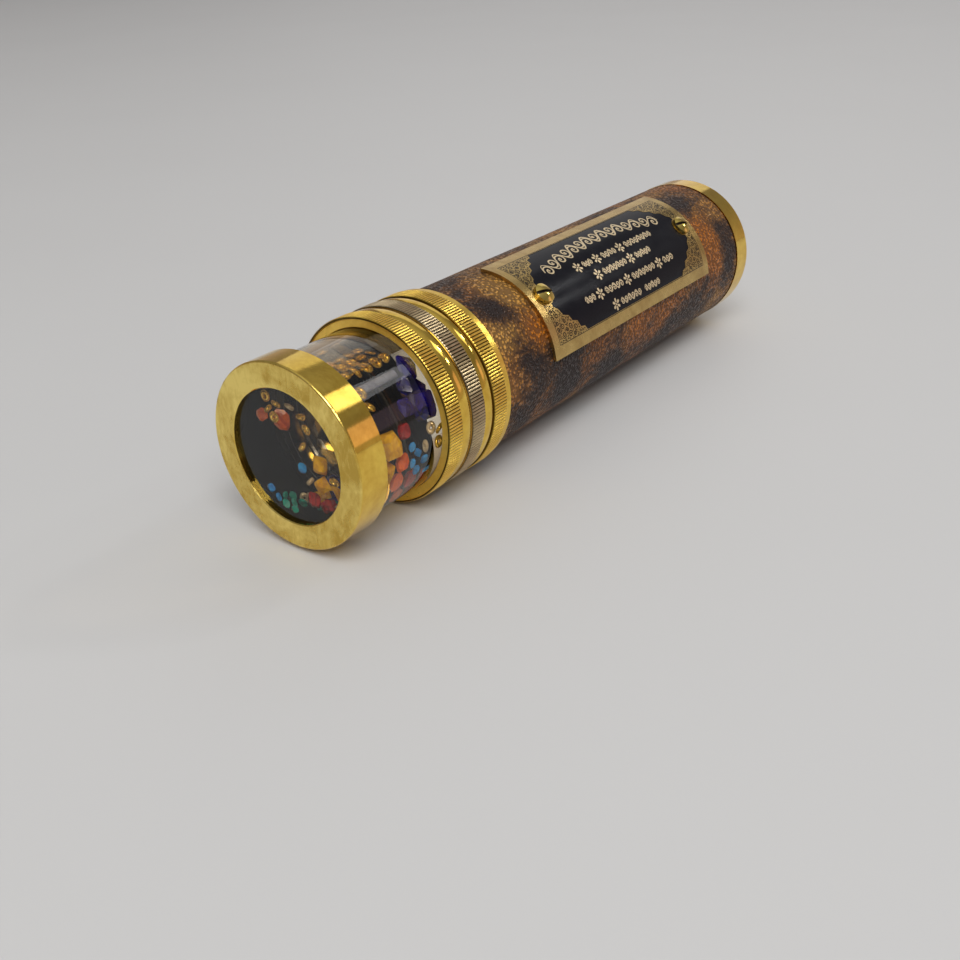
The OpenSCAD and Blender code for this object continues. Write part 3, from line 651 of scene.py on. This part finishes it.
class LineWork:
    """Thin raised strokes on the plate, gathered into one mesh."""

    def __init__(self, low, high):
        self.low, self.high = low, high
        self.verts, self.faces = [], []

    def stroke(self, points, width, taper=(1.0, 1.0)):
        """A stroke along points. taper gives the share of the width at its two ends."""
        n = len(points)
        start = len(self.verts)
        for i, (x, y) in enumerate(points):
            x0, y0 = points[max(0, i - 1)]
            x1, y1 = points[min(n - 1, i + 1)]
            length = math.hypot(x1 - x0, y1 - y0) or 1
            t = i / (n - 1)
            swell = math.sin(math.pi * t)
            ends = taper[0] * (1 - t) + taper[1] * t
            half = width / 2 * (ends + (1 - ends) * swell)
            nx, ny = -(y1 - y0) / length * half, (x1 - x0) / length * half
            for side in (1, -1):
                for radius in (self.low, self.high):
                    self.verts.append(on_plate(x + side * nx, y + side * ny, radius))
        for i in range(n - 1):
            a, b = start + 4 * i, start + 4 * i + 4
            for p, q in ((0, 1), (1, 3), (3, 2), (2, 0)):
                self.faces.append([a + p, a + q, b + q, b + p])
        last = start + 4 * (n - 1)
        self.faces.append([start, start + 2, start + 3, start + 1])
        self.faces.append([last + 1, last + 3, last + 2, last])

    def dot(self, x, y, radius):
        self.stroke([(x - radius, y), (x, y), (x + radius, y)], 2 * radius, (0.3, 0.3))

    def build(self, name, material):
        add_piece(name, self.verts, self.faces, BODY, [material], smooth=False)


def turned(points, x, y, tilt):
    """Points turned by an angle in radians and moved to a place."""
    c, s = math.cos(tilt), math.sin(tilt)
    return [(x + px * c - py * s, y + px * s + py * c) for px, py in points]


def spiral(size, turns, start, hand, steps, inner):
    """A spiral round the origin, from its outer end to an inner end at a share of its size."""
    points = []
    for i in range(steps + 1):
        t = i / steps
        r = size * (1 - t * (1 - inner))
        a = start + hand * turns * 2 * math.pi * t
        points.append((r * math.cos(a), r * math.sin(a)))
    return points


# A scroll in shares of its height: its bends' length, its stem's swing and its curls' offset. Then
# a curl's turns and where it starts, and the points of the stem in one bend
BEND, SWING, CURL_OFFSET = 0.86, 0.46, 0.10
CURL_TURNS, CURL_START = 1.3, math.radians(168)
BEND_STEPS = 8


def scroll(work, x0, x1, height, width, arch):
    """A running scroll along an arch: a waving stem, and in each bend a spiral with a bud."""
    count = max(2, round((x1 - x0) / (height * BEND)))
    step = (x1 - x0) / count
    stem = []
    for k in range(BEND_STEPS * count + 1):
        x = x0 + step * k / BEND_STEPS
        wave = SWING * height * math.sin(math.pi * k / BEND_STEPS)
        stem += turned([(0, wave)], x, *arch(x))
    work.stroke(stem, width, (0.4, 0.4))
    offset = CURL_OFFSET * height
    for k in range(count):
        up = 1 if k % 2 == 0 else -1
        x = x0 + step * (k + 0.5)
        curl = spiral(0.5 * step, CURL_TURNS, CURL_START, -1, 26, 0.22)
        curl = [(px, up * (py - offset)) for px, py in curl]
        work.stroke(turned(curl, x, *arch(x)), width * 0.9, (0.7, 0.9))
        bud = turned([(0, -up * offset)], x, *arch(x))[0]
        work.dot(*bud, width * 0.62)


def rosette(work, x, y, size):
    """A flower of six round petals."""
    for k in range(6):
        petal = [(0.30 * size, 0), (0.62 * size, 0), (size, 0)]
        work.stroke(turned(petal, x, y, math.radians(60 * k + 30)), 0.44 * size, (0.35, 0.75))
    work.dot(x, y, 0.17 * size)


# The band over the rows: its ends, the height of its crown, how far its ends fall, and its size
BAND_X, BAND_CROWN, BAND_FALL = (-26.2, 26.6), 8.2, 3.6
BAND_HEIGHT, BAND_STROKE = 4.1, 0.46
# The rows: height of the middle, places of the rosettes, and the stretches of scroll
ROWS = (
    (2.2, (-15.4, -6.9, 4.0), ((-13.2, -9.1), (-4.7, 1.8), (6.2, 19.2))),
    (-1.6, (-10.7, 4.6), ((-8.5, 2.4), (6.8, 14.2))),
    (-5.9, (-14.0, -1.2, 14.4), ((-20.6, -16.2), (-11.8, -3.4), (1.0, 12.2), (16.6, 21.8))),
    (-10.0, (-9.4,), ((-7.2, 2.6), (4.4, 12.0))),
)
ROW_HEIGHT, ROW_STROKE = 1.9, 0.26
ROSETTE = 1.5
# How deep line work is set in, and how far its gold and its dark strokes stand proud
SET_IN, GOLD_PROUD, DARK_PROUD = 0.02, 0.05, 0.012


def nameplate_ornament():
    """The gold band and rows on the black field."""
    gold = LineWork(ENAMEL_TOP - SET_IN, ENAMEL_TOP + GOLD_PROUD)
    middle, half = sum(BAND_X) / 2, (BAND_X[1] - BAND_X[0]) / 2

    def crown(x):
        part = (x - middle) / half
        return BAND_CROWN - BAND_FALL * part ** 2, math.atan(-2 * BAND_FALL * part / half)

    scroll(gold, *BAND_X, BAND_HEIGHT, BAND_STROKE, crown)
    for y, flowers, stretches in ROWS:
        for x in flowers:
            rosette(gold, x, y, ROSETTE)
        for x0, x1 in stretches:
            scroll(gold, x0, x1, ROW_HEIGHT, ROW_STROKE, lambda x, y=y: (y, 0.0))
    gold.build("nameplate_scrolls", ornament_gold)


nameplate_ornament()


# The black field: half its length and height, the size of its corners, and the steps of a corner
# from its long side to its end, in shares of that size
FIELD_X, FIELD_Y, CORNER_X, CORNER_Y = 32.25, 11.9, 8.8, 8.2
CORNER_STEPS = (
    (0, 1), (0.07, 0.86), (0.26, 0.82), (0.33, 0.62), (0.52, 0.56),
    (0.60, 0.38), (0.80, 0.30), (0.87, 0.10), (1, 0))
# The line inside the plate's bright border, the room kept round a screw and round each curl, where
# the corners' fill starts, and how near to each other two curls may come
INNER_X, INNER_Y = 35.0, 12.1
SCREW_CLEAR, EDGE_CLEAR = 2.9, 0.1
FILL_FROM = (22, -0.5)
NEAREST = 0.96
# The fill's radii and how often each is tried. Below DOT it is a dot, and above WIDE a wide curl
FILL = ((0.95, 400), (0.65, 900), (0.42, 2400), (0.27, 4000), (0.15, 6000))
DOT, WIDE = 0.2, 0.5


def in_field(x, y, margin):
    """True where the black field lies, grown by a margin."""
    x, y = abs(x) - margin, abs(y) - margin
    if x > FIELD_X or y > FIELD_Y:
        return False
    px, py = (x - FIELD_X + CORNER_X) / CORNER_X, (y - FIELD_Y + CORNER_Y) / CORNER_Y
    if px < 0 or py < 0:
        return True
    for (x0, y0), (x1, y1) in zip(CORNER_STEPS, CORNER_STEPS[1:]):
        if x0 <= px <= x1:
            return py <= y0 + (y1 - y0) * (px - x0) / max(1e-6, x1 - x0)
    return False


def corner_filigree():
    """Dark engraved curls and dots that fill the plate between its border and the black field."""
    draw = random.Random(7)
    dark = LineWork(PLATE_TOP - SET_IN, PLATE_TOP + DARK_PROUD)
    placed = []

    def free(x, y, size):
        if x + size > INNER_X - EDGE_CLEAR or y + size > INNER_Y - EDGE_CLEAR:
            return False
        if in_field(x, y, size + EDGE_CLEAR) or math.hypot(x - SCREW_X, y) < SCREW_CLEAR + size:
            return False
        return not any(math.hypot(x - px, y - py) < (size + ps) * NEAREST for px, py, ps in placed)

    for size, tries in FILL:
        for _ in range(tries):
            x, y = draw.uniform(FILL_FROM[0], INNER_X), draw.uniform(FILL_FROM[1], INNER_Y)
            if free(x, y, size):
                placed.append((x, y, size))
    for x, y, size in placed:
        start, hand = draw.uniform(0, 6.28), draw.choice((-1, 1))
        turns, steps, width = (1.5, 18, 0.24) if size > WIDE else (0.9, 9, 0.19)
        curl = spiral(size * 0.86, turns, start, hand, steps, 0.2)
        for sx in (-1, 1):
            for sy in (-1, 1):
                if size < DOT:
                    dark.dot(sx * x, sy * y, size)
                else:
                    points = [(sx * (x + px), sy * (y + py)) for px, py in curl]
                    dark.stroke(points, width, (0.8, 0.8))
    for side in (1, -1):
        dark.stroke([(side * INNER_X, INNER_Y * (2 * k / 20 - 1)) for k in range(21)], 0.16)
    for side in (1, -1):
        dark.stroke([(INNER_X * (2 * k / 40 - 1), side * INNER_Y) for k in range(41)], 0.16)
    dark.build("nameplate_filigree", black_enamel)


corner_filigree()


# Floor, room, lamps and camera

FLOOR_COLOURS = (0.62, 0.615, 0.605), (0.60, 0.595, 0.585)
FLOOR_SIDE, FLOOR_Z = 8, -0.00002
# The room's colour by the height of the direction, from level at 0 to straight up at 1
ROOM = (
    (0.0, (0.45, 0.38, 0.33)),
    (0.20, (0.32, 0.28, 0.255)),
    (0.45, (0.20, 0.19, 0.185)),
    (0.70, (0.26, 0.26, 0.265)),
    (1.0, (0.52, 0.53, 0.55)),
)
# Square lamps that face the object: direction, distance and side in metres, watts and colour
WHITE = (1, 1, 1)
LAMPS = (
    ("key", (0.43, -0.48, 0.77), 2.2, 1.4, 36.5, WHITE),
    ("window", (-0.44, 0.78, 0.44), 2.0, 1.3, 2.5, WHITE),
    ("skylight", (0.361, 0.625, 0.681), 2.0, 0.5, 1.4, WHITE),
    ("doorway", (0.73, 0.64, 0.24), 2.0, 0.6, 0.55, (1.0, 0.62, 0.80)),
    ("lamp_near", (0.315, 0.725, 0.612), 1.9, 0.12, 1.3, WHITE),
    ("lamp_far", (0.485, 0.726, 0.487), 1.9, 0.12, 1.3, WHITE),
)
# The camera, fitted to the edges of the bezel, the bands, the leather and the cap
CAMERA_AT = (0.150576, -0.21580, 0.117461)
CAMERA_RIGHT = (0.80141, 0.59685, -0.03881)
CAMERA_UP = (-0.24992, 0.39313, 0.88486)
CAMERA_BACK = (0.54339, -0.69944, 0.46423)
SENSOR, LENS = 36, 42.21
CLIP = (0.005, 20)


def add_floor():
    bpy.ops.mesh.primitive_plane_add(size=FLOOR_SIDE, location=(0, 0, FLOOR_Z))
    floor = bpy.context.object
    floor.name = "floor"
    s = Surface("floor_pale", FLOOR_COLOURS[0], roughness=0.6)
    s.put("Base Color", s.mix(s.noise(9, 3), *FLOOR_COLOURS))
    floor.data.materials.append(s.material)


def add_world():
    """A plain room: warm near the floor, dim half way up, and cooler and lighter overhead."""
    world = bpy.data.worlds.new("studio")
    bpy.context.scene.world = world
    world.use_nodes = True
    tree = world.node_tree
    background = tree.nodes["Background"]
    place = tree.nodes.new("ShaderNodeTexCoord")
    split = tree.nodes.new("ShaderNodeSeparateXYZ")
    ramp = tree.nodes.new("ShaderNodeValToRGB")
    tree.links.new(place.outputs["Generated"], split.inputs[0])
    tree.links.new(split.outputs[2], ramp.inputs[0])
    tree.links.new(ramp.outputs[0], background.inputs["Color"])
    stops = ramp.color_ramp.elements
    stops[0].position, stops[1].position = ROOM[0][0], ROOM[-1][0]
    for position, _ in ROOM[1:-1]:
        stops.new(position)
    for stop, (_, colour) in zip(stops, ROOM):
        stop.color = (*colour, 1)
    background.inputs["Strength"].default_value = 1.0


def add_lamp(name, direction, distance, side, power, colour):
    data = bpy.data.lights.new(name, "AREA")
    data.shape = "SQUARE"
    data.size = side
    data.energy = power
    data.color = colour
    lamp = bpy.data.objects.new(name, data)
    bpy.context.scene.collection.objects.link(lamp)
    out = Vector(direction).normalized()
    turn = out.to_track_quat("Z", "Y").to_matrix().to_4x4()
    lamp.matrix_world = Matrix.Translation(Vector((0, 0, AXIS_Z)) + out * distance) @ turn


def add_camera():
    data = bpy.data.cameras.new("camera")
    data.sensor_width = SENSOR
    data.lens = LENS
    data.clip_start, data.clip_end = CLIP
    camera = bpy.data.objects.new("camera", data)
    bpy.context.scene.collection.objects.link(camera)
    turn = Matrix((CAMERA_RIGHT, CAMERA_UP, CAMERA_BACK)).transposed().to_4x4()
    camera.matrix_world = Matrix.Translation(CAMERA_AT) @ turn
    bpy.context.scene.camera = camera


add_floor()
add_world()
for lamp_facts in LAMPS:
    add_lamp(*lamp_facts)
add_camera()
bpy.context.scene.view_settings.view_transform = "Standard"
